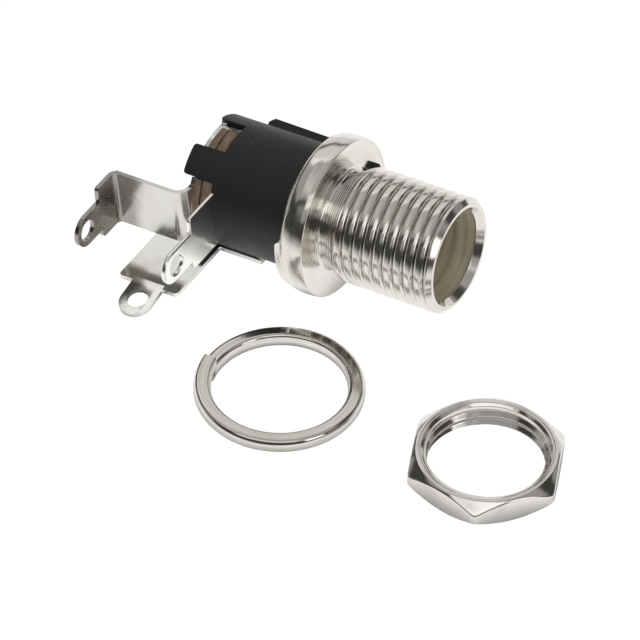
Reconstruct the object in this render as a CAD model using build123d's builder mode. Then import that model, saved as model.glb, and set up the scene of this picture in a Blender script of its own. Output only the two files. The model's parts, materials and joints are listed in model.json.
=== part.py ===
from build123d import *
from math import atan2, cos, radians, sin, tan
import os

os.makedirs("parts", exist_ok=True)

# Stations run along the barrel: 0 is the flange's front face, the mouth is in front, the terminals behind.
# Across the barrel, "side" points where the three solder lugs stick out, and "down" points to the table.

# Threaded bushing
barrel_length = 13.0
thread_r = 5.9
thread_root_r = 5.5
thread_pitch = 1.14
thread_crest_width = 0.45
first_crest = 2.35
thread_run_out = 0.15
neck_r = 5.05
mouth_bevel_length = 0.5
mouth_face_r = 5.35
bore_r = 4.68
bore_lead_in = 0.12
flange_r = 8.2
flange_thickness = 2.6
flange_front_edge = 0.12
flange_back_edge = 0.35
staking_length = 0.6
staking_width = 0.45
staking_edge = 0.05
staking_from = -14.0
staking_to = 75.0
lip_length = 1.1
relief_r = 4.9

# Moulded housing
housing_r = 6.4
housing_length = 9.1
spigot_reach = 4.5
spigot_clearance = 0.05
spigot_bevel = 0.3
plug_hole_r = 3.0
plug_hole_bevel = 0.4
rib_angle = -156.5
rib_width = 2.8
rib_back_r = 7.2
rib_front_r = 7.05
rib_bevel = 0.5
rib_root_r = 4.0
key_angle = -160.5
key_width = 0.8
key_inner_r = 5.85
key_outer_r = 6.65
key_proud = 0.75
key_edge = 0.12
key_clearance = 0.05
belly_depth = 5.95
prong_inner_r = 5.75
prong_corner = 0.35
hook_gap = 0.07
hook_depth = 0.3
near_prong_from = 38.0
near_prong_to = 67.0
near_prong_length = 3.45
far_prong_from = 104.5
far_prong_to = 142.0
far_prong_length = 3.0

# Sheet-metal terminals
sheet = 0.45
blade_width = 6.2
blade_corner = 0.4
lug_width = 3.5
lug_offset = 0.35
eyelet_r = 1.1

# Terminal stack, from the housing's rear shoulder backwards
front_wafer_thickness = 1.2
rear_wafer_thickness = 0.83
wafer_r = 6.2
stack_clearance = 0.1
notch_margin = 1.0
wafer_flat_depth = 4.5
disc_flat_depth = 5.3
far_flat_angle = 137.0

# Centre pin
pin_r = 1.05
pin_tip_station = 3.3
pin_tip_round = 0.5
pin_collar_r = 1.8
pin_collar_length = 1.0
rivet_r = 1.7
rivet_height = 0.55
rivet_round = 0.25

# Terminal of the centre pin
pin_blade_face = 7.3
pin_blade_bend = 1.3
pin_tail_station = -21.95
pin_tail_bend = 0.7
pin_tail_shoulder = 10.2
pin_lug_length = 4.1
pin_lug_eyelet = 2.4

# Terminal of the sleeve contact
sleeve_ring_r = 5.0
sleeve_ring_hole_r = 2.4
sleeve_shoulder = 10.2
sleeve_lug_length = 5.0
sleeve_lug_eyelet = 2.8

# Switch terminal under the housing
switch_back_station = -19.65
switch_front_station = -12.8
switch_strip_half = 3.5
switch_strip_end = -7.9
switch_shoulder = 11.55
switch_lug_length = 4.0
switch_lug_eyelet = 1.95
switch_lug_bend = 10.3
switch_finger_inner = 1.7
switch_finger_outer = 3.3
switch_arm_end = -0.4
switch_arm_height = 0.4

# Sleeve contact spring
spring_thickness = 0.3
spring_width = 2.4
spring_gap = 0.03
spring_foot_top = 2.6
spring_foot_bottom = 4.6
spring_bend = 0.35
spring_crest_station = -4.4
spring_crest_depth = 2.65
spring_tip_station = -3.6
spring_tip_depth = 3.7
pocket_clearance = 0.3
pocket_front = -3.1
pocket_floor = 5.2
finger_clearance = 0.1

# Hexagon nut, taken off and laid on the table
nut_across_flats = 14.0
nut_thickness = 2.9
nut_top_r = 6.75
nut_bevel_angle = 38.0
nut_bevel_margin = 0.5
nut_bore_r = 5.6
nut_countersink_r = 6.3
nut_countersink_depth = 0.35
nut_turn = 50.8
nut_place = (24.99, -15.69)

# Split lock washer, taken off and laid on the table
washer_outer_r = 8.3
washer_width = 1.7
washer_thickness = 1.4
washer_corner = 0.25
washer_rise = 0.8
washer_gap = 1.2
washer_split = 183.0
washer_place = (2.97, -17.16)

# The jack lies on the back of its flange and on the tip of the switch lug, which tilts its mouth up.
# The first two numbers centre the whole set over the origin.
jack_forward = -5.2
jack_sideways = 8.63
bend = radians(switch_lug_bend)
lug_station = (switch_back_station + switch_front_station) / 2
rim_station = flange_back_edge - flange_thickness

# The lug's round end touches the table at this angle behind its tip.
touch = radians(30)
touch_reach = switch_lug_length - lug_width / 2 * (1 - cos(touch))
touch_depth = belly_depth + sheet * cos(bend) + touch_reach * sin(bend)
touch_station = lug_station - lug_width / 2 * sin(touch)
tilt = atan2(flange_r - touch_depth, rim_station - touch_station)
forward = Vector(cos(tilt), 0, sin(tilt))
side = Vector(0, -1, 0)
down = forward.cross(side)
flange_height = flange_r * cos(tilt) - rim_station * sin(tilt)
flange_centre = Vector(jack_forward, jack_sideways, flange_height)
barrel_axis = Axis(flange_centre, forward)

# across: local x is side, local y is down. lengthwise: x is forward, y is up.
# below: x is forward, y is side, and its offset is the depth below the barrel's axis.
across = Plane(origin=flange_centre, x_dir=side, z_dir=forward)
lengthwise = Plane(origin=flange_centre, x_dir=forward, z_dir=side)
below = Plane(origin=flange_centre, x_dir=forward, z_dir=down)

# ribbed and keyed: x is forward and y is the direction in which the rib or the key lies from the axis.
rib_out = side * cos(radians(rib_angle)) + down * sin(radians(rib_angle))
ribbed = Plane(origin=flange_centre, x_dir=forward, z_dir=forward.cross(rib_out))
key_out = side * cos(radians(key_angle)) + down * sin(radians(key_angle))
keyed = Plane(origin=flange_centre, x_dir=forward, z_dir=forward.cross(key_out))

flange_back = -flange_thickness
shoulder_station = flange_back - housing_length
near_prong = (near_prong_from, near_prong_to, near_prong_length)
far_prong = (far_prong_from, far_prong_to, far_prong_length)
sleeve_front = shoulder_station + sheet
wafer_joint = shoulder_station - front_wafer_thickness
disc_front = wafer_joint - rear_wafer_thickness
disc_back = disc_front - sheet
hook_front = disc_back - hook_gap
thread_mouth = barrel_length - mouth_bevel_length
last_crest = thread_mouth - thread_run_out
thread_turns = 1 + int((last_crest - thread_pitch / 2 - first_crest) / thread_pitch)
notch_r = prong_inner_r - stack_clearance
staking_inner_r = flange_r - flange_back_edge - staking_edge - staking_width

# The spring stands just in front of the sleeve terminal and rests against the switch finger's arm.
spring_root_station = sleeve_front + spring_gap + spring_thickness / 2
spring_slope = (spring_foot_bottom - spring_crest_depth) / (spring_crest_station - spring_root_station)
spring_depth_at_arm = spring_foot_bottom - spring_slope * (switch_strip_end - spring_root_station)
arm_inner = spring_depth_at_arm - spring_thickness / 2 / cos(atan2(spring_slope, 1)) - spring_gap - switch_arm_height

# The switch lug's plane is turned down about the plate's edge.
switch_plate_length = switch_front_station - switch_back_station
lug_out = side * cos(bend) + down * sin(bend)
lug_origin = flange_centre + forward * lug_station + side * switch_shoulder + down * belly_depth
lug_plane = Plane(origin=lug_origin, x_dir=lug_out, z_dir=lug_out.cross(forward) * -1)

# The loose nut and washer are placed from the flange's centre.
nut_outer_r = nut_across_flats / 3**0.5 + nut_bevel_margin
nut_bevel_drop = (nut_outer_r - nut_top_r) * tan(radians(nut_bevel_angle))
nut_origin = (jack_forward + nut_place[0], jack_sideways + nut_place[1], 0)
nut_seat = Plane(origin=nut_origin, x_dir=(cos(radians(nut_turn)), sin(radians(nut_turn)), 0))
washer_r = washer_outer_r - washer_width / 2
washer_pitch = washer_rise * 360 / (360 - washer_gap)
washer_origin = (jack_forward + washer_place[0], jack_sideways + washer_place[1], washer_thickness / 2)
washer_end = radians(washer_split - washer_gap / 2)
washer_seat = Plane(origin=washer_origin, x_dir=(cos(washer_end), sin(washer_end), 0))


def sector(inner_r, outer_r, start, end, mode=Mode.ADD):
    """Adds a ring sector to the sketch in hand, or cuts it out, between two angles in degrees."""
    with BuildLine(mode=Mode.PRIVATE) as outline:
        inner = CenterArc((0, 0), inner_r, start, end - start)
        outer = CenterArc((0, 0), outer_r, start, end - start)
        Line(inner @ 0, outer @ 0)
        Line(inner @ 1, outer @ 1)
    make_face(outline.edges(), mode=mode)


def prong_pair(prong, inner_r, margin=0, mode=Mode.ADD):
    """Adds or cuts out the ring sectors of a prong and its mirror image, widened by a margin in degrees."""
    start, end, length = prong
    for low, high in ((start, end), (-end, -start)):
        sector(inner_r, housing_r, low - margin, high + margin, mode)


def stack_disc(flat_depth):
    """Adds the outline that the wafers and the pin terminal share: a disc cut away at the four prongs."""
    Circle(wafer_r)
    Circle(pin_r, mode=Mode.SUBTRACT)
    prong_pair(near_prong, notch_r, notch_margin, Mode.SUBTRACT)
    prong_pair(far_prong, notch_r, notch_margin, Mode.SUBTRACT)
    with Locations(Location((0, 0), far_flat_angle), Location((0, 0), -far_flat_angle)):
        with Locations((flat_depth, 0)):
            Rectangle(wafer_r, 2 * wafer_r, align=(Align.MIN, Align.CENTER), mode=Mode.SUBTRACT)
    with Locations((0, belly_depth - stack_clearance)):
        Rectangle(2 * wafer_r, wafer_r, align=(Align.CENTER, Align.MIN), mode=Mode.SUBTRACT)


def blade(start, end):
    """Adds a blade of the common width with rounded far corners, along local x."""
    with Locations((start, 0)):
        Rectangle(end - start, blade_width, align=(Align.MIN, Align.CENTER))
    fillet(vertices().group_by(Axis.X)[-1], blade_corner)


def lug(start, length, offset, eyelet):
    """Adds a round-ended lug with its eyelet, running along local x from a start."""
    with Locations((start - sheet, offset)):
        Rectangle(length - lug_width / 2 + sheet, lug_width, align=(Align.MIN, Align.CENTER))
    with Locations((start + length - lug_width / 2, offset)):
        Circle(lug_width / 2)
    with Locations((start + eyelet, offset)):
        Circle(eyelet_r, mode=Mode.SUBTRACT)


# Bushing: one turned piece with its thread as rings, its flange pierced for the housing's key and staked behind
thread_rings = []
for turn in range(thread_turns):
    crest = first_crest + turn * thread_pitch
    thread_rings.append((crest - thread_pitch / 2, thread_root_r))
    thread_rings.append((crest - thread_crest_width / 2, thread_r))
    thread_rings.append((crest + thread_crest_width / 2, thread_r))
thread_rings.append((crest + thread_pitch / 2, thread_root_r))

with BuildPart() as bushing:
    with BuildSketch(lengthwise):
        with BuildLine():
            Polyline(
                (flange_back, bore_r),
                (flange_back, flange_r - flange_back_edge),
                (flange_back + flange_back_edge, flange_r),
                (-flange_front_edge, flange_r),
                (0, flange_r - flange_front_edge),
                (0, neck_r),
                (first_crest - thread_pitch, neck_r),
                *thread_rings,
                (last_crest, thread_r),
                (thread_mouth, thread_r),
                (barrel_length, mouth_face_r),
                (barrel_length, bore_r + bore_lead_in),
                (barrel_length - bore_lead_in, bore_r),
                (barrel_length - lip_length, bore_r),
                (barrel_length - lip_length, relief_r),
                (spigot_reach, relief_r),
                (spigot_reach, bore_r),
                close=True,
            )
        make_face()
    revolve(axis=barrel_axis)
    with BuildSketch(across.offset(flange_back - staking_length)):
        sector(staking_inner_r, staking_inner_r + staking_width, staking_from, staking_to)
    extrude(amount=staking_length)
    with BuildSketch(keyed):
        with Locations((flange_back, key_inner_r - key_clearance)):
            Rectangle(flange_thickness, key_outer_r - key_inner_r + 2 * key_clearance, align=Align.MIN)
    extrude(amount=key_width / 2 + key_clearance, both=True, mode=Mode.SUBTRACT)
bushing.part.label = "bushing"

# Housing: body with a spigot into the bushing's bore, a flat belly and four hooked prongs
with BuildPart() as housing:
    with BuildSketch(lengthwise):
        with BuildLine():
            Polyline(
                (shoulder_station, plug_hole_r),
                (shoulder_station, housing_r),
                (flange_back, housing_r),
                (flange_back, bore_r - spigot_clearance),
                (spigot_reach - spigot_bevel, bore_r - spigot_clearance),
                (spigot_reach, bore_r - spigot_clearance - spigot_bevel),
                (spigot_reach, plug_hole_r + plug_hole_bevel),
                (spigot_reach - plug_hole_bevel, plug_hole_r),
                close=True,
            )
        make_face()
    revolve(axis=barrel_axis)
    # Prongs and their hooks, the shorter far pair first
    for prong in (far_prong, near_prong):
        tip_station = shoulder_station - prong[-1]
        with BuildSketch(across.offset(shoulder_station)):
            prong_pair(prong, prong_inner_r)
        extrude(amount=tip_station - shoulder_station)
        with BuildSketch(across.offset(tip_station)):
            prong_pair(prong, prong_inner_r - hook_depth)
        extrude(amount=hook_front - tip_station)
        tip_edges = edges().group_by(barrel_axis)[0]
        fillet(tip_edges.filter_by(GeomType.LINE), prong_corner)
    # Rib along the body and the key that passes through the flange
    with BuildSketch(ribbed):
        with BuildLine():
            Polyline(
                (shoulder_station, rib_root_r),
                (shoulder_station, rib_back_r - rib_bevel),
                (shoulder_station + rib_bevel, rib_back_r),
                (flange_back, rib_front_r),
                (flange_back, rib_root_r),
                close=True,
            )
        make_face()
    extrude(amount=rib_width / 2, both=True)
    with BuildSketch(keyed):
        with BuildLine():
            Polyline(
                (flange_back - sheet, key_inner_r),
                (key_proud - key_edge, key_inner_r),
                (key_proud, key_inner_r + key_edge),
                (key_proud, key_outer_r - key_edge),
                (key_proud - key_edge, key_outer_r),
                (flange_back - sheet, key_outer_r),
                close=True,
            )
        make_face()
    extrude(amount=key_width / 2, both=True)
    # Flat belly, recess for the sleeve terminal, pocket for its spring, slot for the switch finger
    with BuildSketch(across.offset(shoulder_station - near_prong_length)):
        with Locations((0, belly_depth)):
            Rectangle(2 * housing_r, housing_r, align=(Align.CENTER, Align.MIN))
    extrude(amount=housing_length + near_prong_length, mode=Mode.SUBTRACT)
    with BuildSketch(across.offset(shoulder_station)):
        Circle(sleeve_ring_r + stack_clearance)
        Rectangle(2 * housing_r, blade_width + 2 * stack_clearance, align=(Align.MIN, Align.CENTER))
    extrude(amount=sheet, mode=Mode.SUBTRACT)
    with BuildSketch(across.offset(shoulder_station)):
        Rectangle(spring_width + 2 * pocket_clearance, pocket_floor, align=(Align.CENTER, Align.MIN))
    extrude(amount=pocket_front - shoulder_station, mode=Mode.SUBTRACT)
    with BuildSketch(across.offset(switch_strip_end - sheet - finger_clearance)):
        with Locations((0, arm_inner - finger_clearance)):
            Rectangle(switch_finger_outer + finger_clearance, housing_r, align=Align.MIN)
    extrude(amount=sheet + 2 * finger_clearance, mode=Mode.SUBTRACT)
housing.part.label = "housing"

# Centre pin: round tip, collar on the front wafer, rivet head behind the stack
with BuildPart() as centre_pin:
    with BuildSketch(lengthwise):
        with BuildLine():
            Polyline(
                (disc_back - rivet_height, 0),
                (disc_back - rivet_height, rivet_r - rivet_round),
                (disc_back - rivet_height + rivet_round, rivet_r),
                (disc_back, rivet_r),
                (disc_back, pin_r),
                (shoulder_station, pin_r),
                (shoulder_station, pin_collar_r),
                (shoulder_station + pin_collar_length, pin_collar_r),
                (shoulder_station + pin_collar_length, pin_r),
                (pin_tip_station - pin_tip_round, pin_r),
                (pin_tip_station, pin_r - pin_tip_round),
                (pin_tip_station, 0),
                close=True,
            )
        make_face()
    revolve(axis=barrel_axis)
centre_pin.part.label = "centre_pin"

# Pin terminal: disc behind the wafers, strip bent back along the side, tail bent out again with its lug
strip_middle = pin_blade_face - sheet / 2
with BuildPart() as pin_terminal:
    with BuildSketch(across.offset(disc_back)):
        stack_disc(disc_flat_depth)
    extrude(amount=sheet)
    with BuildSketch(below):
        with BuildLine():
            FilletPolyline(
                (disc_back + sheet / 2, pin_blade_face / 2),
                (disc_back + sheet / 2, strip_middle),
                (pin_tail_station, strip_middle),
                radius=pin_blade_bend,
            )
        trace(line_width=sheet)
        with BuildLine():
            FilletPolyline(
                (disc_back - 2 * pin_blade_bend, strip_middle),
                (pin_tail_station - sheet / 2, strip_middle),
                (pin_tail_station - sheet / 2, pin_tail_shoulder - blade_corner),
                radius=pin_tail_bend,
            )
        trace(line_width=sheet)
    extrude(amount=blade_width / 2, both=True)
    with BuildSketch(across.offset(pin_tail_station)):
        blade(strip_middle + pin_tail_bend, pin_tail_shoulder)
        lug(pin_tail_shoulder, pin_lug_length, lug_offset, pin_lug_eyelet)
    extrude(amount=-sheet)
pin_terminal.part.label = "pin_terminal"

# Insulating wafers between the two upper terminals
with BuildPart() as rear_wafer:
    with BuildSketch(across.offset(disc_front)):
        stack_disc(wafer_flat_depth)
    extrude(amount=rear_wafer_thickness)
rear_wafer.part.label = "rear_wafer"

with BuildPart() as front_wafer:
    with BuildSketch(across.offset(wafer_joint)):
        stack_disc(wafer_flat_depth)
    extrude(amount=front_wafer_thickness)
front_wafer.part.label = "front_wafer"

# Sleeve terminal: flat ring in the housing's shoulder with a blade to the side
with BuildPart() as sleeve_terminal:
    with BuildSketch(across.offset(shoulder_station)):
        blade(0, sleeve_shoulder)
        Circle(sleeve_ring_r)
        Circle(sleeve_ring_hole_r, mode=Mode.SUBTRACT)
        lug(sleeve_shoulder, sleeve_lug_length, lug_offset, sleeve_lug_eyelet)
    extrude(amount=sheet)
sleeve_terminal.part.label = "sleeve_terminal"

# Sleeve contact spring: leaf that stands on the sleeve terminal and reaches into the plug hole
with BuildPart() as sleeve_spring:
    with BuildSketch(lengthwise):
        with BuildLine():
            FilletPolyline(
                (spring_root_station, -spring_foot_top),
                (spring_root_station, -spring_foot_bottom),
                (spring_crest_station, -spring_crest_depth),
                (spring_tip_station, -spring_tip_depth),
                radius=spring_bend,
            )
        trace(line_width=spring_thickness)
    extrude(amount=spring_width / 2, both=True)
sleeve_spring.part.label = "sleeve_spring"

# Switch terminal: plate under the housing, lug bent down, finger bent up to the spring
with BuildPart() as switch_terminal:
    with BuildSketch(below.offset(belly_depth)):
        with Locations((switch_back_station, -switch_strip_half)):
            Rectangle(switch_plate_length, switch_shoulder + switch_strip_half, align=Align.MIN)
        fillet(vertices().group_by(Axis.Y)[-1], blade_corner)
        with Locations((switch_front_station - sheet, 0)):
            Rectangle(switch_strip_end - switch_front_station + sheet, 2 * switch_strip_half, align=(Align.MIN, Align.CENTER))
    extrude(amount=sheet)
    with BuildSketch(lug_plane):
        lug(0, switch_lug_length, 0, switch_lug_eyelet)
    extrude(amount=sheet)
    with BuildSketch(across.offset(switch_strip_end - sheet)):
        with Locations((switch_finger_inner, arm_inner)):
            Rectangle(switch_finger_outer - switch_finger_inner, belly_depth + sheet - arm_inner, align=Align.MIN)
        with Locations((switch_arm_end, arm_inner)):
            Rectangle(switch_finger_inner - switch_arm_end, switch_arm_height, align=Align.MIN)
    extrude(amount=sheet)
switch_terminal.part.label = "switch_terminal"

# Lock washer: one turn of square wire that climbs clockwise from its low end
coil = washer_seat * Helix(washer_pitch, washer_rise, washer_r, lefthand=True)
with BuildPart() as lock_washer:
    with BuildSketch(Plane(origin=coil @ 0, x_dir=washer_seat.x_dir, z_dir=coil % 0)):
        RectangleRounded(washer_width, washer_thickness, washer_corner)
    sweep(path=coil, is_frenet=True)
lock_washer.part.label = "lock_washer"

# Panel nut: hexagon with both faces bevelled and its bore countersunk
with BuildPart() as panel_nut:
    with BuildSketch(nut_seat):
        RegularPolygon(nut_across_flats / 2, 6, major_radius=False)
    extrude(amount=nut_thickness)
    with BuildSketch(Plane(origin=nut_seat.origin, x_dir=nut_seat.x_dir, z_dir=nut_seat.y_dir)):
        with BuildLine():
            Polyline(
                (nut_bore_r, -nut_thickness + nut_countersink_depth),
                (nut_countersink_r, -nut_thickness),
                (nut_top_r, -nut_thickness),
                (nut_outer_r, -nut_thickness + nut_bevel_drop),
                (nut_outer_r, -nut_bevel_drop),
                (nut_top_r, 0),
                (nut_countersink_r, 0),
                (nut_bore_r, -nut_countersink_depth),
                close=True,
            )
        make_face()
    revolve(axis=Axis(nut_seat.origin, nut_seat.z_dir), mode=Mode.INTERSECT)
panel_nut.part.label = "panel_nut"

for piece in (
    bushing,
    housing,
    centre_pin,
    pin_terminal,
    rear_wafer,
    front_wafer,
    sleeve_terminal,
    sleeve_spring,
    switch_terminal,
    lock_washer,
    panel_nut,
):
    export_step(piece.part, f"parts/{piece.part.label}.step")
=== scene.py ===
import json
import math

import bmesh
import bpy
import numpy as np
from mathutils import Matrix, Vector

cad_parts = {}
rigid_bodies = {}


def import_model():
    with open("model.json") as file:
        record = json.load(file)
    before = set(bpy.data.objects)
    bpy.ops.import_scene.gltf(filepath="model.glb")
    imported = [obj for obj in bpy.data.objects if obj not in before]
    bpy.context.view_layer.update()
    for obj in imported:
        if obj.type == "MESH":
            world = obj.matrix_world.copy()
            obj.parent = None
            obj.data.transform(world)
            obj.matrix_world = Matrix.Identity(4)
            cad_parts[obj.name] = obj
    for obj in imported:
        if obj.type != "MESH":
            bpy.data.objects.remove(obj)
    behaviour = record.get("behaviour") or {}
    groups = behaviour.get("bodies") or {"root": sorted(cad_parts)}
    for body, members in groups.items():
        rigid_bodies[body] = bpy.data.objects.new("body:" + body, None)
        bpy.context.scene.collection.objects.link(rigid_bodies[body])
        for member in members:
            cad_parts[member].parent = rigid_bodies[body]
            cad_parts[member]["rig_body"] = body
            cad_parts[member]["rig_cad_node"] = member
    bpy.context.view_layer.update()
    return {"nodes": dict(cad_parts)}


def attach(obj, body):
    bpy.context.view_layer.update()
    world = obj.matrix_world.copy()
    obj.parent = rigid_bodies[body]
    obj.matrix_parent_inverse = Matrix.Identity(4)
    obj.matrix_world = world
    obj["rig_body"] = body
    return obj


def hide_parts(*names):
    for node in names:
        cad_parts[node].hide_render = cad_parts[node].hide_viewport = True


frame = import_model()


# ---- Table and light ----
# A plain white table in a small studio, with boxes of light behind and above and a dark room on the
# viewer's side. The camera sees table and room as one clean white. The plated pieces mirror the
# room's lamps, and a table that glows with painted light: a painted pool round the object, and
# painted shadow under the pieces.
CLEAN_WHITE = 1.03
TABLE_HALF = 3.0
TABLE_TOP = -0.00002
TABLE_CORNERS = ((-1, -1), (1, -1), (1, 1), (-1, 1))
table_mesh = bpy.data.meshes.new("table")
table_mesh.from_pydata(
    [(x * TABLE_HALF, y * TABLE_HALF, TABLE_TOP) for x, y in TABLE_CORNERS], [], [(0, 1, 2, 3)]
)
table = bpy.data.objects.new("table", table_mesh)
bpy.context.scene.collection.objects.link(table)


def feed(tree, node, sockets):
    """Give a node's inputs, by name or by number, plain values or other nodes' sockets."""
    for name, value in sockets.items():
        if isinstance(value, bpy.types.NodeSocket):
            tree.links.new(value, node.inputs[name])
        else:
            node.inputs[name].default_value = value


def put(tree, kind, *values, sockets=None, **settings):
    """Add a node with its settings. Values go to its inputs in order, and sockets by name."""
    node = tree.nodes.new("ShaderNode" + kind)
    for setting, value in settings.items():
        setattr(node, setting, value)
    feed(tree, node, dict(enumerate(values)))
    feed(tree, node, sockets or {})
    return node


def arithmetic(tree, operation, *values):
    """One math node in a tree, with numbers or sockets as its inputs."""
    return put(tree, "Math", *values, operation=operation).outputs[0]


def ramp_between(tree, value, low, high, at_low=0.0, at_high=1.0, course="LINEAR"):
    """A ramp, straight if no other course is named: at_low under low, at_high over high."""
    values = (value, low, high, at_low, at_high)
    return put(tree, "MapRange", *values, interpolation_type=course).outputs[0]


def ease_between(tree, value, low, high, at_low=0.0, at_high=1.0):
    """A smooth step: at_low while the value is under low, at_high once it is over high."""
    return ramp_between(tree, value, low, high, at_low, at_high, "SMOOTHSTEP")


def clean_for_camera(tree, glow):
    """The strength of a glowing surface: clean white for the camera, its own glow for other rays.
    """
    seen = put(tree, "LightPath").outputs["Is Camera Ray"]
    return ramp_between(tree, seen, 0.0, 1.0, at_low=glow, at_high=CLEAN_WHITE)


def empty_tree(owner):
    """The node tree of a new material or world, with nothing in it yet."""
    owner.use_nodes = True
    owner.node_tree.nodes.clear()
    return owner.node_tree


# The table glows with painted light for the pieces to mirror: a painted pool, brightest round the
# object and fading towards the viewer, where the dark room begins. There are two fades, each with
# its two places along Y in metres and the share of the glow that is left. A painted shadow dims it
# close beside and under the pieces, so that their lower edges mirror something darker.
PAINTED_POOL_FADES = ((-0.060, -0.012, 0.42), (-0.180, -0.050, 0.3))
SHADE_REACH = 0.0028
SHADE_DEPTH = 1.5
SHADE_SAMPLES = 4
table_light = bpy.data.materials.new("white_table")
table_tree = empty_tree(table_light)
table_place = put(table_tree, "TexCoord").outputs["Object"]
table_y = put(table_tree, "SeparateXYZ", table_place).outputs["Y"]
# Painted shadow: ambient occlusion dims the table's glow close beside and under the pieces.
shade = put(table_tree, "AmbientOcclusion", samples=SHADE_SAMPLES)
feed(table_tree, shade, {"Distance": SHADE_REACH})
painted_glow_share = arithmetic(table_tree, "POWER", shade.outputs["AO"], SHADE_DEPTH)
# Painted pool of light: the table's glow fades towards the viewer.
for viewer_end, object_end, share_left in PAINTED_POOL_FADES:
    fade = ease_between(table_tree, table_y, viewer_end, object_end, at_low=share_left)
    painted_glow_share = arithmetic(table_tree, "MULTIPLY", painted_glow_share, fade)
table_strength = clean_for_camera(table_tree, painted_glow_share)
table_glow = put(table_tree, "Emission", sockets={"Strength": table_strength})
put(table_tree, "OutputMaterial", sockets={"Surface": table_glow.outputs[0]})
table_mesh.materials.append(table_light)

room = bpy.data.worlds.new("room")
bpy.context.scene.world = room
room_tree = empty_tree(room)
room_direction = put(room_tree, "TexCoord").outputs["Generated"]


def along(direction):
    """How far the room's direction points along a unit vector."""
    dot = put(room_tree, "VectorMath", room_direction, direction, operation="DOT_PRODUCT")
    return dot.outputs["Value"]


LEAST_DEPTH = 0.001
FACING_EDGE = 0.05


def light_box(height, bearing, half_width, half_height, edge, glow):
    """The glow of one rectangular box of light, with soft edges.

    Height is its angle above the horizon and bearing its angle from the barrel's axis, in degrees.
    The half sizes and the edge are in degrees too, measured from its middle. A direction lies in
    the box if its shares across it and up it, over its share towards the middle, are both under
    the tangents of the half sizes. There is none of it in the directions that face away from it.
    """
    rise, turn = math.radians(height), math.radians(bearing)
    reach = math.cos(rise)
    middle = Vector((reach * math.cos(turn), reach * math.sin(turn), math.sin(rise)))
    across = Vector((-math.sin(turn), math.cos(turn), 0.0))
    up = middle.cross(across)
    faced = along(middle)
    depth = arithmetic(room_tree, "MAXIMUM", faced, LEAST_DEPTH)
    box = ease_between(room_tree, faced, low=0.0, high=FACING_EDGE)
    for side, half in ((across, half_width), (up, half_height)):
        slope = arithmetic(room_tree, "DIVIDE", along(side), depth)
        slope = arithmetic(room_tree, "ABSOLUTE", slope)
        inner, outer = math.tan(math.radians(half)), math.tan(math.radians(half + edge))
        side_edge = ease_between(room_tree, slope, inner, outer, at_low=1.0, at_high=0.0)
        box = arithmetic(room_tree, "MULTIPLY", box, side_edge)
    return arithmetic(room_tree, "MULTIPLY", box, glow)


ROOM_GREY = 0.06
VIEWER_GREY = 0.05
VIEWER_SIDE = Vector((-0.09, -0.99, 0.0))
VIEWER_FROM, VIEWER_TO = 0.35, 0.75
LAMP_WHITE = (1.0, 0.995, 0.985, 1)
# Each box of light: height, bearing, half width, half height, soft edge and glow.
LIGHT_BOXES = (
    (90, 0, 24, 24, 12, 0.4),
    (42, 118, 26, 13, 5, 0.68),
    (3, 104, 28, 14, 7, 0.7),
    (54, 285, 26, 8, 5, 0.85),
    (40, 296, 40, 10, 8, 0.3),
    (50, 190, 26, 10, 6, 0.32),
    (12, 195, 20, 5, 5, 0.35),
    (46, 358, 18, 12, 6, 0.3),
    (20, 345, 9, 9, 3, 1.7),
    (5, 25, 22, 7, 5, 0.3),
    (20, 62, 13, 6, 5, 0.25),
)
room_glow = ease_between(
    room_tree, along(VIEWER_SIDE), VIEWER_FROM, VIEWER_TO, at_low=ROOM_GREY, at_high=VIEWER_GREY
)
for light in LIGHT_BOXES:
    room_glow = arithmetic(room_tree, "ADD", room_glow, light_box(*light))
room_strength = clean_for_camera(room_tree, room_glow)
room_background = put(
    room_tree, "Background", sockets={"Color": LAMP_WHITE, "Strength": room_strength}
)
put(room_tree, "OutputWorld", sockets={"Surface": room_background.outputs[0]})

# The camera looks down from the right of the barrel's mouth with a long lens.
CAMERA_PLACE = (0.14138, -0.24077, 0.2736)
LOOKED_AT = Vector((-0.00428, 0.00251, 0.0))
camera_data = bpy.data.cameras.new("camera")
camera_data.sensor_width = 36
camera_data.lens = 225
camera_data.clip_start = 0.01
camera = bpy.data.objects.new("camera", camera_data)
camera.location = CAMERA_PLACE
camera.rotation_euler = (LOOKED_AT - camera.location).to_track_quat("-Z", "Y").to_euler()
bpy.context.scene.collection.objects.link(camera)
bpy.context.scene.camera = camera
bpy.context.scene.view_settings.view_transform = "Standard"


# ---- Threaded bushing ----
# One piece of brass, turned and threaded, then plated with bright nickel. Its flange stops it at
# the panel, and a lip behind the flange is pressed over the housing's front edge.
MM = 0.001
FULL_TURN = 2 * math.pi
SHARP_EDGE = math.radians(38)

# Sizes are in millimetres. A station is a place along the barrel, from the flange's front face.
TILT = math.radians(4.3667)
FLANGE_CENTRE = np.array([-5.2, 8.63, 8.3475])
FORWARD = np.array([math.cos(TILT), 0.0, math.sin(TILT)])
SIDE = np.array([0.0, -1.0, 0.0])
DOWN = np.cross(FORWARD, SIDE)
# The thread and its crests' radius. It fades out before the mouth, and its grooves have a flat
# floor for the last few hundredths of half a pitch.
THREAD_PITCH = 1.14
THREAD_CREST = 5.9
THREAD_DEPTH = 0.32
THREAD_PHASE = 0.2
THREAD_FROM, THREAD_TO = 0.9, 13.0
THREAD_FADE_END, THREAD_FADE = 12.9, 0.6
THREAD_FULLNESS = 4.5
GROOVE_FLOOR = 0.97
# Shallow rings on the neck, and how they rise and fade along it.
NECK_FROM, NECK_TO, NECK_RISE, NECK_FALL = 0.7, 2.3, 0.2, 0.3
NECK_RING_PITCH, NECK_RING_HEIGHT = 0.31, 0.045
# The lip behind the flange goes round only between two angles, in degrees, and slopes at its ends.
FLANGE_BACK = -2.6
LIP_FROM, LIP_TO, LIP_SLOPE = -14.0, 75.0, 4.0
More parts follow.
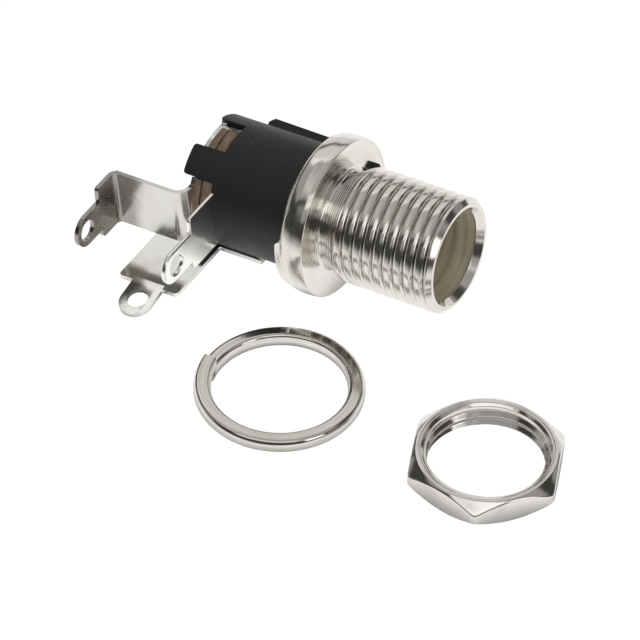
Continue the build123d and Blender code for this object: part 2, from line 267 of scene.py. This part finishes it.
# The mesh has fine steps in front of a station and between two radii, and coarse ones elsewhere.
BARREL_FROM, BARREL_FROM_R, BARREL_TO_R = -0.01, 5.0, 6.0
FINE_STEP, COARSE_STEP = 0.05, 0.5
BUSHING_ANGLES = 216
# How deep a groove is before it gets painted shade, and how much painted shade the neck rings get.
UNSHADED_TO, NECK_SHADE = 0.72, 0.5
# Each corner of the turned profile: station, radius, and how far it is rounded.
BUSHING_CORNERS = np.array([
    (-2.6, 4.68, 0.05), (-2.6, 7.42, 0.05), (-3.2, 7.5, 0.05), (-3.2, 7.9, 0.09),
    (-2.6, 7.82, 0.09), (-2.3, 8.1, 0.25), (-1.5, 8.22, 0.4), (-0.45, 8.18, 0.35),
    (-0.06, 8.12, 0.05), (0.0, 8.02, 0.04), (0.0, 5.3, 0.25), (0.25, 5.05, 0.25),
    (0.9, 5.05, 0.09), (2.3, 5.9, 0.09), (12.5, 5.9, 0.09), (13.0, 5.38, 0.06),
    (13.0, 5.06, 0.04), (12.3, 4.58, 0.05), (12.15, 4.58, 0.03), (12.1, 4.72, 0.03),
    (4.5, 4.68, 0.03),
])


def rounded(corners, radius, step, steps):
    """A closed run of points through the corners, each corner cut back by the radius at most.

    A corner is the curve (1-t)^2 before + 2t(1-t) corner + t^2 after, with the points before and
    after it on its two sides, in as many points as steps. Straight stretches longer than the step
    are divided evenly, and the step may be a function that gives one for every point of the run.
    """
    corners = np.asarray(corners, float)
    before = np.roll(corners, 1, axis=0)
    after = np.roll(corners, -1, axis=0)
    to_before = before - corners
    to_after = after - corners
    length_before = np.linalg.norm(to_before, axis=1, keepdims=True)
    length_after = np.linalg.norm(to_after, axis=1, keepdims=True)
    just_under_half = 0.45
    cut = np.minimum(radius, just_under_half * np.minimum(length_before, length_after))
    start = corners + to_before / length_before * cut
    end = corners + to_after / length_after * cut
    t = np.linspace(0, 1, steps)[None, :, None]
    arcs = (1 - t) ** 2 * start[:, None] + 2 * t * (1 - t) * corners[:, None] + t**2 * end[:, None]
    run = arcs.reshape(-1, corners.shape[1])
    if callable(step):
        step = step(run)
    gap = np.linalg.norm(np.roll(run, -1, axis=0) - run, axis=1)
    count = np.maximum(1, np.ceil(gap / step).astype(int))
    index = np.repeat(np.arange(len(run)), count)
    share = (np.arange(len(index)) - np.repeat(np.cumsum(count) - count, count)) / count[index]
    return run[index] * (1 - share[:, None]) + np.roll(run, -1, axis=0)[index] * share[:, None]


def skin(name, points, along_closed=True, recess=None, body="jack"):
    """A mesh object over a grid of points in millimetres, with its columns closed to a ring.

    Its UV map runs with the rows and the columns, from 0 to 1. An open row end is closed by one
    flat face. The faces are turned round when the signed volume, the sum of a . (b x c) / 6, comes
    out negative. A recess, 0 on the open surface to 1 deep in a groove, is kept as an attribute for
    the finish, which paints shade in the grooves by it.
    """
    rows, columns = points.shape[:2]
    row = np.arange(rows if along_closed else rows - 1)
    column = np.arange(columns)
    i, j = (index.ravel() for index in np.meshgrid(row, column, indexing="ij"))
    corner_i = np.stack([i, i + 1, i + 1, i], axis=1)
    corner_j = np.stack([j, j, j + 1, j + 1], axis=1)
    quads = (corner_i % rows) * columns + corner_j % columns
    flat = points.reshape(-1, 3) * MM
    a, b, c, d = (flat[quads[:, k]] for k in range(4))
    inside_out = np.sum(a * (np.cross(b, c) + np.cross(c, d))) < 0
    uv = np.stack([corner_i / rows, corner_j / columns], axis=2)
    if inside_out:
        quads, uv = quads[:, ::-1], uv[:, ::-1]
    faces = quads.tolist()
    if not along_closed:
        first = np.arange(columns)
        last = first + (rows - 1) * columns
        ends = (first, last[::-1]) if inside_out else (first[::-1], last)
        faces += [end.tolist() for end in ends]
    mesh = bpy.data.meshes.new(name)
    mesh.from_pydata(flat.tolist(), [], faces)
    layer = mesh.uv_layers.new(name="turning")
    values = np.zeros((len(mesh.loops), 2))
    values[: len(quads) * 4] = uv.reshape(-1, 2)
    layer.data.foreach_set("uv", values.ravel())
    if recess is not None:
        mesh.attributes.new("recess", "FLOAT", "POINT").data.foreach_set("value", recess.ravel())
    mesh.shade_smooth()
    mesh.set_sharp_from_angle(angle=SHARP_EDGE)
    piece = bpy.data.objects.new(name, mesh)
    bpy.context.scene.collection.objects.link(piece)
    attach(piece, body)
    return piece


def round_barrel(stations, radii, angles):
    """Points round the barrel, at station s and radius r.

    A point is centre + s forward + r cos(angle) side + r sin(angle) down.
    """
    turn = angles[:, None, None]
    outward = np.cos(turn) * SIDE + np.sin(turn) * DOWN
    return FLANGE_CENTRE + stations[..., None] * FORWARD + radii[..., None] * outward


def thread_height(stations, angles, pitch, phase):
    """How far a right-hand thread stands out, 0 at its root to 1 at its crest.

    The crest follows s = pitch (angle / full turn + phase). The height is 1 - t to the power of
    the fullness, with t from 0 on the crest to 1 at the root, so that wide rounded crests meet in
    narrow grooves.
    """
    turns = stations / pitch - angles / FULL_TURN - phase
    from_crest = np.minimum(2 * np.abs(turns - np.round(turns)), GROOVE_FLOOR) / GROOVE_FLOOR
    return 1 - from_crest**THREAD_FULLNESS


def between(values, first, last, rise, fall):
    """1 between two places, after a straight rise from the first, before a fall to the last."""
    return np.clip((values - first) / rise, 0, 1) * np.clip((last - values) / fall, 0, 1)


def groove_shade(depth, unshaded_to):
    """Painted shade in a groove: none down to the given depth, then evenly more, to 1 at depth 1.
    """
    return np.clip((depth - unshaded_to) / (1 - unshaded_to), 0, 1)


def barrel_step(run):
    """Short steps where the barrel is threaded and long ones elsewhere."""
    station, radius = run[:, 0], run[:, 1]
    outside = (radius > BARREL_FROM_R) & (radius < BARREL_TO_R)
    return np.where(outside & (station > BARREL_FROM), FINE_STEP, COARSE_STEP)


bushing_run = rounded(BUSHING_CORNERS[:, :2], BUSHING_CORNERS[:, 2:], step=barrel_step, steps=6)
bushing_angles = np.linspace(0, FULL_TURN, BUSHING_ANGLES, endpoint=False)
bushing_s = np.repeat(bushing_run[None, :, 0], len(bushing_angles), axis=0)
bushing_r = np.repeat(bushing_run[None, :, 1], len(bushing_angles), axis=0)
threaded = (bushing_s > THREAD_FROM) & (bushing_s < THREAD_TO) & (bushing_r > BARREL_FROM_R)
fading = np.clip((THREAD_FADE_END - bushing_s) / THREAD_FADE, 0, 1)
grooves = 1 - thread_height(bushing_s, bushing_angles[:, None], THREAD_PITCH, THREAD_PHASE)
thread_r = THREAD_CREST - THREAD_DEPTH * fading * grooves
bushing_r = np.where(threaded, np.minimum(bushing_r, thread_r), bushing_r)
# The die leaves a few shallow rings on the neck before the first full turn of thread.
on_neck = between(bushing_s, NECK_FROM, NECK_TO, NECK_RISE, NECK_FALL) * (bushing_r > BARREL_FROM_R)
neck_rings = np.cos(FULL_TURN * bushing_s / NECK_RING_PITCH)
bushing_r = bushing_r + NECK_RING_HEIGHT * on_neck * neck_rings
lip_degrees = (np.degrees(bushing_angles)[:, None] + 180) % 360 - 180
lip = between(lip_degrees, LIP_FROM, LIP_TO, LIP_SLOPE, LIP_SLOPE)
past_flange = bushing_s - FLANGE_BACK
bushing_s = np.where(bushing_s < FLANGE_BACK, FLANGE_BACK + past_flange * lip, bushing_s)
# Painted shade: the deeper parts of the thread's grooves and the hollows of the neck rings.
bushing_groove_shade = np.maximum(
    groove_shade(grooves, UNSHADED_TO) * threaded * fading,
    NECK_SHADE * on_neck * np.clip(-neck_rings, 0, 1),
)
bushing_points = round_barrel(bushing_s, bushing_r, bushing_angles)
turned_bushing = skin("turned_bushing", bushing_points, recess=bushing_groove_shade)


def noise(tree, place, scale, detail=2.0):
    """The value of a noise texture at a place, about 0.5 on average."""
    sockets = {"Vector": place, "Scale": scale, "Detail": detail}
    return put(tree, "TexNoise", sockets=sockets).outputs["Fac"]


def blended(tree, factor, first, second):
    """A colour that goes from the first to the second as the factor goes from 0 to 1."""
    sockets = {"Factor": factor, "A": first, "B": second}
    return put(tree, "Mix", data_type="RGBA", sockets=sockets).outputs["Result"]


def relief(tree, height, strength, distance, **below):
    """The normal of a surface with a height on it, on top of another relief's Normal if given."""
    sockets = {"Strength": strength, "Distance": distance, "Height": height, **below}
    return put(tree, "Bump", sockets=sockets).outputs["Normal"]


def new_group(name, inputs, outputs):
    """An empty node group, its inputs' values and its output node. Sockets are names and kinds."""
    group = bpy.data.node_groups.new(name, "ShaderNodeTree")
    for in_out, sockets in (("INPUT", inputs), ("OUTPUT", outputs)):
        for title, kind in sockets.items():
            kind = "NodeSocket" + kind
            group.interface.new_socket(name=title, in_out=in_out, socket_type=kind)
    return group, group.nodes.new("NodeGroupInput").outputs, group.nodes.new("NodeGroupOutput")


# The colours of tarnish and of the darkening, and how much of the metal full darkening covers.
# In thread grooves and on the pin strip's lug the darkening is painted shade.
TARNISH = (0.45, 0.38, 0.30, 1)
DARKENED_TONE = (0.10, 0.09, 0.075, 1)
DARKENING_COVER = 0.75


def plating_marks():
    """A node group for handled bright plating: faint tarnish, drawn lines, darkening and scratches.

    The metal is mixed towards the tarnish by its clouds plus the lines, and then towards the
    darkened tone, which is painted shade in thread grooves.
    The roughness is the polish plus the scratches. Dents and waves are heights for the relief.
    """
    inputs = {
        "Metal": "Color", "Tarnish Amount": "Float", "Lines": "Float", "Line Amount": "Float",
        "Darkening": "Float", "Polish": "Float", "Scratches": "Float",
    }
    outputs = {"Color": "Color", "Roughness": "Float", "Dents": "Float", "Waves": "Float"}
    group, given, made = new_group("plating_marks", inputs, outputs)
    place = put(group, "TexCoord").outputs["Object"]

    clouds = ease_between(group, noise(group, place, scale=420, detail=6), low=0.45, high=0.75)
    clouds = arithmetic(group, "MULTIPLY", clouds, given["Tarnish Amount"])
    lines = ease_between(group, given["Lines"], low=0.4, high=0.7)
    lines = arithmetic(group, "MULTIPLY", lines, given["Line Amount"])
    tone = blended(group, arithmetic(group, "ADD", clouds, lines), given["Metal"], TARNISH)
    cover = arithmetic(group, "MULTIPLY", given["Darkening"], DARKENING_COVER)

    fine = noise(group, place, scale=2600, detail=6)
    scratches = ease_between(group, fine, low=0.55, high=0.8)
    scratches = arithmetic(group, "MULTIPLY", scratches, given["Scratches"])
    feed(group, made, {
        "Color": blended(group, cover, tone, DARKENED_TONE),
        "Roughness": arithmetic(group, "ADD", scratches, given["Polish"]),
        "Dents": fine,
        "Waves": noise(group, place, scale=330, detail=1.5),
    })
    return group


def drawn_lines():
    """A node group for the marks of turning or drawing: noise drawn out along a piece's own UV map.

    The scales say how many marks there are along the map and across it.
    """
    inputs = {"Map": "Vector", "Along": "Float", "Across": "Float"}
    group, given, made = new_group("drawn_lines", inputs, {"Lines": "Float"})
    scales = put(group, "CombineXYZ", given["Along"], given["Across"], 1.0).outputs[0]
    drawn = put(group, "Mapping", sockets={"Vector": given["Map"], "Scale": scales})
    feed(group, made, {"Lines": noise(group, drawn.outputs["Vector"], scale=1.0, detail=3)})
    return group


# The two groups, and how high their fine marks and their slow waves stand, in metres.
PLATING_MARKS = plating_marks()
DRAWN_LINES = drawn_lines()
MARK_HEIGHT = 0.00002
WAVE_HEIGHT = 0.0001


def plated_finish(
    name, metal, polish, scratches, tarnish, dents, waves,
    lines=None, line_height=0.0, line_tone=0.0, grooved=False,
):
    """A bright plated metal, with the amounts of its marks.

    Lines are the scales of its drawn lines along and across its UV map, with their height and their
    tone. A grooved piece is darkened with painted shade where its recess attribute is high.
    """
    finish = bpy.data.materials.new(name)
    finish.use_nodes = True
    tree = finish.node_tree
    sockets = {"Metal": metal, "Tarnish Amount": tarnish, "Polish": polish, "Scratches": scratches}
    marks = put(tree, "Group", node_tree=PLATING_MARKS, name="marks", sockets=sockets)
    normal = relief(tree, marks.outputs["Dents"], dents, MARK_HEIGHT)
    normal = relief(tree, marks.outputs["Waves"], waves, WAVE_HEIGHT, Normal=normal)
    if grooved:
        recess = put(tree, "Attribute", attribute_name="recess")
        feed(tree, marks, {"Darkening": recess.outputs["Fac"]})
    if lines:
        own_map = put(tree, "UVMap", uv_map="turning").outputs["UV"]
        drawn = put(tree, "Group", own_map, *lines, node_tree=DRAWN_LINES).outputs["Lines"]
        feed(tree, marks, {"Lines": drawn, "Line Amount": line_tone})
        normal = relief(tree, drawn, line_height, MARK_HEIGHT, Normal=normal)
    feed(tree, tree.nodes["Principled BSDF"], {
        "Metallic": 1.0,
        "Base Color": marks.outputs["Color"],
        "Roughness": marks.outputs["Roughness"],
        "Normal": normal,
    })
    return finish


# The outside is bright, with the lathe's marks round it. The bore is dull and more coarsely cut.
# Its colour is partly painted light: a lighter copy of the nickel, so that the shaded bore comes
# out lighter.
NICKEL = (0.80, 0.775, 0.725, 1)
BORE_NICKEL_PAINTED_LIGHTER = (0.96, 0.91, 0.78, 1)
BORE_R, BORE_TO = 4.8, 12.2
turned_bushing.data.materials.append(plated_finish(
    "bright_nickel", NICKEL, polish=0.13, scratches=0.12, tarnish=0.1, dents=0.15, waves=0.06,
    lines=(4, 170), line_height=0.2, line_tone=0.2, grooved=True,
))
turned_bushing.data.materials.append(plated_finish(
    "bore_nickel_painted_lighter", BORE_NICKEL_PAINTED_LIGHTER, polish=0.68, scratches=0.1, tarnish=0.1, dents=0.3, waves=0.1,
    lines=(3, 260), line_height=0.9, line_tone=0.5,
))
in_bore = (bushing_run[:, 1] < BORE_R) & (bushing_run[:, 0] < BORE_TO)
bore_faces = np.tile(in_bore & np.roll(in_bore, -1), len(bushing_angles))
turned_bushing.data.polygons.foreach_set("material_index", bore_faces.astype(np.int32))
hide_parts("bushing")


# ---- Moulded housing ----
# Black glass-filled plastic from a two-part mould, with a fine dull grain and softened edges.
# Its four hooked prongs snap over the stack of wafers and terminals.
BLACK_PLASTIC = (0.017, 0.0155, 0.0175, 1)
PALE_DUST = (0.12, 0.12, 0.12, 1)
# How near two points of a CAD node are merged, and how flat an edge is dissolved.
SAME_POINT = 0.000002
SAME_PLANE = math.radians(1.0)


def eased(node, name, finish, width, body="jack", segments=2):
    """Dress a CAD node: a copy, with its points merged and its sharp edges rounded to a width."""
    piece = frame["nodes"][node].copy()
    piece.data = frame["nodes"][node].data.copy()
    piece.name = name
    piece.data.name = name
    # The copy is a piece of its own, so it drops what marks the node as a CAD part.
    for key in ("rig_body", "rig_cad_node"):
        if key in piece:
            del piece[key]
    piece.parent = None
    bpy.context.scene.collection.objects.link(piece)
    shell = bmesh.new()
    shell.from_mesh(piece.data)
    bmesh.ops.remove_doubles(shell, verts=shell.verts, dist=SAME_POINT)
    bmesh.ops.dissolve_limit(shell, angle_limit=SAME_PLANE, verts=shell.verts, edges=shell.edges)
    shell.to_mesh(piece.data)
    shell.free()
    ease = piece.modifiers.new("ease", "BEVEL")
    ease.width = width
    ease.segments = segments
    ease.limit_method = "ANGLE"
    ease.angle_limit = SHARP_EDGE
    piece.data.shade_smooth()
    piece.data.set_sharp_from_angle(angle=SHARP_EDGE)
    piece.data.materials.clear()
    piece.data.materials.append(finish)
    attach(piece, body)
    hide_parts(node)


def moulded_finish():
    """Dull black plastic: a fine grain in the relief, pale specks of dust and an uneven sheen."""
    finish = bpy.data.materials.new("black_moulding")
    finish.use_nodes = True
    tree = finish.node_tree
    place = put(tree, "TexCoord").outputs["Object"]
    to_speck = put(tree, "TexVoronoi", sockets={"Vector": place, "Scale": 900}).outputs["Distance"]
    specks = ramp_between(tree, to_speck, low=0.07, high=0.04)
    sheen, grain = noise(tree, place, scale=400), noise(tree, place, scale=9000, detail=4)
    feed(tree, tree.nodes["Principled BSDF"], {
        "Base Color": blended(tree, specks, BLACK_PLASTIC, PALE_DUST),
        "Roughness": ramp_between(tree, sheen, 0.0, 1.0, at_low=0.42, at_high=0.62),
        "Normal": relief(tree, grain, strength=0.5, distance=0.00002),
    })
    return finish


eased("housing", "moulded_housing", moulded_finish(), width=0.00009)


# ---- Insulating wafers ----
# Two discs stamped from brown laminated board, paper layers bonded with resin, keep the terminals
# apart. Their raw edges show the layers, and a thin dark line where the two discs meet.
LAYER_SCALES = (9000, 900, 900)
DARK_RESIN = (0.11, 0.068, 0.045, 1)
PALE_LAYER = (0.48, 0.34, 0.24, 1)
RESIN_END, LAYER_END = 0.3, 0.68
# The joint's station and the colour and share of its shadow, which is full up to one distance from
# the joint, in metres, and gone at the other.
WAFER_JOINT = -12.9
JOINT_SHADOW = (0.02, 0.013, 0.01, 1)
JOINT_SHARE = 0.9
JOINT_FULL, JOINT_GONE = 0.00004, 0.00013


def laminate_finish():
    """Brown board: thin layers across the barrel's axis, darker resin between them, a joint line.

    The layers are noise squeezed along the axis. The joint line is dark where the place's share
    along the axis is close to the joint's station.
    """
    finish = bpy.data.materials.new("brown_laminate")
    finish.use_nodes = True
    tree = finish.node_tree
    place = put(tree, "TexCoord").outputs["Object"]
    sockets = {"Vector": place, "Rotation": (0, TILT, 0), "Scale": LAYER_SCALES}
    squeezed = put(tree, "Mapping", sockets=sockets).outputs["Vector"]
    layers = noise(tree, squeezed, scale=1.0, detail=4)
    board = put(tree, "ValToRGB", layers)
    resin, layer = board.color_ramp.elements
    resin.position, resin.color = RESIN_END, DARK_RESIN
    layer.position, layer.color = LAYER_END, PALE_LAYER
    station = put(tree, "VectorMath", place, FORWARD.tolist(), operation="DOT_PRODUCT")
    joint = (WAFER_JOINT + float(FLANGE_CENTRE @ FORWARD)) * MM
    from_joint = arithmetic(tree, "SUBTRACT", station.outputs["Value"], joint)
    from_joint = arithmetic(tree, "ABSOLUTE", from_joint)
    line = ease_between(tree, from_joint, JOINT_FULL, JOINT_GONE, at_low=JOINT_SHARE, at_high=0.0)
    feed(tree, tree.nodes["Principled BSDF"], {
        "Base Color": blended(tree, line, board.outputs["Color"], JOINT_SHADOW),
        "Roughness": 0.75,
        "Normal": relief(tree, layers, strength=0.6, distance=0.00004),
    })
    return finish


brown_laminate = laminate_finish()
for wafer in ("rear_wafer", "front_wafer"):
    eased(wafer, "stamped_" + wafer, brown_laminate, width=0.00012)


# ---- Terminals ----
# Three blades stamped from thin brass sheet and plated bright, each with a round lug and an eyelet
# for the wire. Stamping rounds their edges a little. The pin's strip is darker at its bend and lug,
# which is painted shade, and the switch plate is scuffed, darker over a band, and dull at its lug.
STRIP_METAL = (0.80, 0.78, 0.74, 1)
SLEEVE_METAL = (0.96, 0.945, 0.90, 1)
SWITCH_METAL = (0.97, 0.955, 0.92, 1)
WANDER = 1.0


def wandering_place():
    """A node group for stains with uneven edges: the Object coordinates, shifted by slow noise.

    The noise is the same for the three axes, and shifts a place by up to WANDER millimetres.
    """
    group, _, made = new_group("wandering_place", {}, dict.fromkeys("XYZ", "Float"))
    place = put(group, "TexCoord").outputs["Object"]
    shift = arithmetic(group, "MULTIPLY", noise(group, place, scale=500), WANDER * MM)
    split = put(group, "SeparateXYZ", place).outputs
    feed(group, made, {axis: arithmetic(group, "ADD", split[axis], shift) for axis in "XYZ"})
    return group


WANDERING_PLACE = wandering_place()


def graded(finish, mark, *eases):
    """Grade one mark of a plated finish by place: the product of smooth steps along the axes.

    A step is its axis, the places in millimetres where it begins and ends, and its values there.
    Both places are moved on by half of WANDER, which is how far the noise shifts on average.
    """
    tree = finish.node_tree
    place = put(tree, "Group", node_tree=WANDERING_PLACE).outputs
    amount = 1.0
    for axis, low, high, at_low, at_high in eases:
        low, high = ((end + WANDER / 2) * MM for end in (low, high))
        step = ease_between(tree, place[axis], low, high, at_low, at_high)
        amount = arithmetic(tree, "MULTIPLY", step, amount)
    feed(tree, tree.nodes["marks"], {mark: amount})


pin_sheet = plated_finish(
    "bright_strip", STRIP_METAL, polish=0.16, scratches=0.15, tarnish=0.15, dents=0.05, waves=0.35
)
# Painted shade: the pin strip is darkened, most where X is under -25.4 mm, at its bend and lug.
graded(pin_sheet, "Darkening", ("X", -25.4, -23.6, 0.8, 0.12))
sleeve_sheet = plated_finish(
    "bright_sheet", SLEEVE_METAL, polish=0.14, scratches=0.15, tarnish=0.08, dents=0.05, waves=0.4
)
switch_sheet = plated_finish(
    "scuffed_sheet", SWITCH_METAL, polish=0.22, scratches=0.12, tarnish=0.2, dents=0.1, waves=0.3
)
# The switch plate is darkened over a band from about Y -6 to -3 mm, where X is under about -19.5
# mm.
graded(
    switch_sheet, "Darkening",
    ("Y", -6.4, -4.6, 0.1, 1.0), ("Y", -3.6, -3.0, 1.0, 0.0), ("X", -19.9, -19.5, 1.0, 0.0),
)
graded(switch_sheet, "Polish", ("X", -17.4, -16.4, 0.14, 0.55))
BLADES = {
    "pin_terminal": pin_sheet, "sleeve_terminal": sleeve_sheet, "switch_terminal": switch_sheet
}
for blade, blade_finish in BLADES.items():
    eased(blade, "stamped_" + blade, blade_finish, width=0.00013, segments=4)


# ---- Inner contacts ----
# The centre pin is turned from brass, plated, and riveted behind the stack. A leaf of spring metal,
# held at its foot, presses on the plug's sleeve and gives way when a plug goes in.
SPRING_METAL = (0.78, 0.74, 0.68, 1)
pin_finish = plated_finish(
    "turned_pin", NICKEL, polish=0.12, scratches=0.1, tarnish=0.1, dents=0.2, waves=0.1
)
eased("centre_pin", "turned_pin", pin_finish, width=0.00006)
leaf_finish = plated_finish(
    "spring_strip", SPRING_METAL, polish=0.15, scratches=0.15, tarnish=0.2, dents=0.2, waves=0.2
)
eased(
    "sleeve_spring", "contact_leaf", leaf_finish, width=0.00004,
    body="contact_spring",
)


# ---- Lock washer ----
# One turn of square spring wire, rolled a little barrel-sided and cut across at a slant, then
# plated. Its upper end stands over the lower one. It lies on the table.
WASHER_CENTRE = (-2.23, -8.53)
WASHER_MID_R = 7.45
WASHER_MIDDLE = 0.7
WASHER_RISE = 0.8
# In degrees: the direction of the lower end, how far the wire goes round, and the slant of its cut
# for each millimetre up.
WASHER_LOW_END = 190.9
WASHER_SWEEP = 362.8
WASHER_SLANT = 5.0
WASHER_STATIONS = 320
WASHER_METAL = (0.78, 0.76, 0.72, 1)
# The corners of the wire's section, out and up from its middle, how far they are rounded, and the
# longest step between its points.
WASHER_EASE, WASHER_STEP = 0.3, 0.06
WASHER_SECTION = [
    (-0.64, 0.7), (-0.84, 0.0), (-0.85, -0.35), (-0.7, -0.7),
    (0.7, -0.7), (0.85, -0.45), (0.86, 0.22), (0.6, 0.7),
]


def lying_ring(centre, radii, angles, heights):
    """Points of a ring that lies on the table: centre + r (cos angle, sin angle), and a height."""
    x = centre[0] + radii * np.cos(angles)
    y = centre[1] + radii * np.sin(angles)
    return np.stack([x, y, heights], axis=2)


# The section is carried once round, with t from 0 to 1. A point of it, out and up, goes to the
# angle low end - t sweep - slant up, the radius middle + out, and the height middle + t rise + up.
washer_section = rounded(WASHER_SECTION, WASHER_EASE, step=WASHER_STEP, steps=8)
section_out, section_up = washer_section[None, :, 0], washer_section[None, :, 1]
washer_t = np.linspace(0, 1, WASHER_STATIONS)[:, None]
washer_angle = np.radians(WASHER_LOW_END - washer_t * WASHER_SWEEP - WASHER_SLANT * section_up)
washer_height = WASHER_MIDDLE + WASHER_RISE * washer_t + section_up
washer_points = lying_ring(WASHER_CENTRE, WASHER_MID_R + section_out, washer_angle, washer_height)
wire_washer = skin("wire_washer", washer_points, along_closed=False)
wire_washer.data.materials.append(plated_finish(
    "drawn_wire", WASHER_METAL, polish=0.1, scratches=0.1, tarnish=0.1, dents=0.05, waves=0.12,
    lines=(5, 40), line_height=0.12, line_tone=0.5,
))
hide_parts("lock_washer")


# ---- Panel nut ----
# A thin hexagon nut cut from brass bar, bevelled and countersunk on both faces, and plated like the
# bushing. It screws on the barrel to hold the jack in its panel, and lies on the table here.
NUT_CENTRE = (19.79, -7.06)
NUT_CORNER = math.radians(50.8)
NUT_FLAT = 7.0
NUT_HEIGHT = 2.9
NUT_TOP_R = 6.75
NUT_BEVEL = math.tan(math.radians(38))
LEAST_BEVEL = 0.02
CORNER_WEAR, CORNER_WIDTH = 0.09, 0.03
SIXTH_TURN = math.pi / 3
NUT_BORE_R = 5.6
NUT_THREAD_DEPTH = 0.5
NUT_CREST_FLAT = 0.06
NUT_UNSHADED_TO = 0.75
NUT_FIRST_CREST = 1.2
NUT_FIRST_ANGLE = math.radians(120)
NUT_ANGLES = 360
NUT_METAL = (0.80, 0.775, 0.74, 1)
# How far the corners of the nut's section are cut back: on its faces, round them, and outside.
FACE_EASE, RIM_EASE, OUTER_EASE = 0.03, 0.07, 0.16
ARC_POINTS = 5
BORE_STEPS = 60
# The lathe's marks on each face, as (radius, depth under the face): rim, fine groove, ridge, sink.
NUT_FACE = [
    (6.54, 0.0), (6.47, 0.06), (6.38, 0.06), (6.32, 0.0), (6.24, 0.02), (5.98, 0.26), (5.93, 0.5)
]
# The hexagon's radius is its flat over the cosine of the angle from the flat's middle, less the
# wear of its corners: the wear times e to the power -(angle from the corner / width)^2.
nut_angle = NUT_CORNER + np.linspace(0, FULL_TURN, NUT_ANGLES, endpoint=False)
from_flat = (nut_angle - NUT_CORNER) % SIXTH_TURN - SIXTH_TURN / 2
hex_r = NUT_FLAT / np.cos(from_flat)
hex_r = hex_r - CORNER_WEAR * np.exp(-(((SIXTH_TURN / 2 - np.abs(from_flat)) / CORNER_WIDTH) ** 2))
bevel_drop = np.maximum((hex_r - NUT_TOP_R) * NUT_BEVEL, LEAST_BEVEL)
level = np.ones_like(hex_r)
top_face = [(radius * level, (NUT_HEIGHT - depth) * level) for radius, depth in NUT_FACE[::-1]]
outside = [
    (NUT_TOP_R * level, NUT_HEIGHT * level),
    (hex_r, NUT_HEIGHT - bevel_drop),
    (hex_r, bevel_drop),
    (NUT_TOP_R * level, 0 * level),
]
under_face = [(radius * level, depth * level) for radius, depth in NUT_FACE]
nut_stops = top_face + outside + under_face
face_eases = [FACE_EASE] * len(NUT_FACE)
nut_eases = face_eases + [RIM_EASE, OUTER_EASE, OUTER_EASE, RIM_EASE] + face_eases


def eased_columns(stops, eases, bore_steps):
    """Columns of points from stop to stop round the closed section, each stop split to round it.

    Every stop gives a radius and a height for each angle. Its corner is cut back by its ease and
    becomes the curve (1-t)^2 before + 2t(1-t) corner + t^2 after. The last stretch, up the bore,
    gets its own steps.
    """
    stack = np.array([[radius, height] for radius, height in stops])
    after = np.roll(stack, -1, axis=0) - stack
    before = np.roll(stack, 1, axis=0) - stack
    cut = np.array(eases)[:, None, None]
    start = stack + before / np.linalg.norm(before, axis=1, keepdims=True) * cut
    end = stack + after / np.linalg.norm(after, axis=1, keepdims=True) * cut
    t = np.linspace(0, 1, ARC_POINTS)[None, :, None, None]
    arcs = (1 - t) ** 2 * start[:, None] + 2 * t * (1 - t) * stack[:, None] + t**2 * end[:, None]
    columns = arcs.reshape(-1, 2, stack.shape[2])
    up = np.linspace(0, 1, bore_steps)[1:-1, None, None]
    bore = columns[-1] * (1 - up) + columns[0] * up
    return np.concatenate([columns, bore])


# The thread is cut into the bore as straight-sided grooves between narrow flat crests. Its radius
# is the bore's + depth times how far a point is past the crest's flat, as a share of half a pitch,
# and the section's radius at most.
nut_columns = eased_columns(nut_stops, nut_eases, BORE_STEPS)
nut_r, nut_z = nut_columns[:, 0].T, nut_columns[:, 1].T
in_nut_bore = np.arange(nut_r.shape[1]) >= ARC_POINTS * len(nut_stops)
crest_turns = (nut_angle[:, None] - NUT_FIRST_ANGLE) / FULL_TURN
nut_turns = (NUT_HEIGHT - NUT_FIRST_CREST - nut_z) / THREAD_PITCH - crest_turns
from_crest = 2 * np.abs(nut_turns - np.round(nut_turns))
cut_r = NUT_BORE_R + NUT_THREAD_DEPTH * np.maximum(from_crest - NUT_CREST_FLAT, 0)
nut_r = np.where(in_nut_bore, np.minimum(cut_r, nut_r), nut_r)
nut_points = lying_ring(NUT_CENTRE, nut_r, nut_angle[:, None], nut_z)
# Painted shade in the deeper parts of the thread's grooves.
nut_groove_shade = np.where(in_nut_bore, groove_shade(from_crest, NUT_UNSHADED_TO), 0.0)
hex_nut = skin("hex_nut", nut_points, recess=nut_groove_shade)
hex_nut.data.materials.append(plated_finish(
    "nut_nickel", NUT_METAL, polish=0.1, scratches=0.25, tarnish=0.35, dents=0.2, waves=0.2,
    lines=(9, 60), line_height=0.12, line_tone=0.15, grooved=True,
))
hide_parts("panel_nut")
